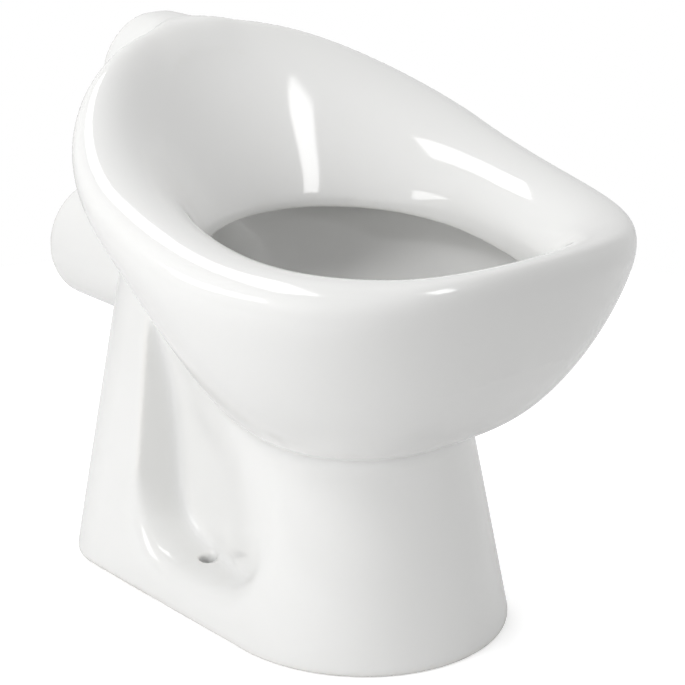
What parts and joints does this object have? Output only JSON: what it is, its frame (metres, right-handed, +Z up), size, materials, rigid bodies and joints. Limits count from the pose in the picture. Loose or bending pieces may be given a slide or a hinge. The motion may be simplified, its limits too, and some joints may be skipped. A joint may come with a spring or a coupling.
{
  "type": "child toilet",
  "caption": "Low floor-standing ceramic toilet pan for small children, with a broad saddle-shaped rim, back outlet and side fixing niches.",
  "frame": {"origin": "on the floor, midway between the two floor-fixing holes", "axes": "+Z up, +Y towards the back where the outlet leaves, +X to the right seen from the front"},
  "size_m": [0.3792, 0.5298, 0.4299],
  "materials": {
    "glazed_china": "high-gloss white sanitary glaze"
  },
  "bodies": {
    "root": {"rim": "glazed_china", "channel_floor": "glazed_china", "flush_inlet": "glazed_china", "bowl": "glazed_china", "trap_bend": "glazed_china", "trap_weir": "glazed_china", "outlet_spigot": "glazed_china", "pedestal": "glazed_china", "fixing_lugs": "glazed_china"}
  },
  "joints": []
}
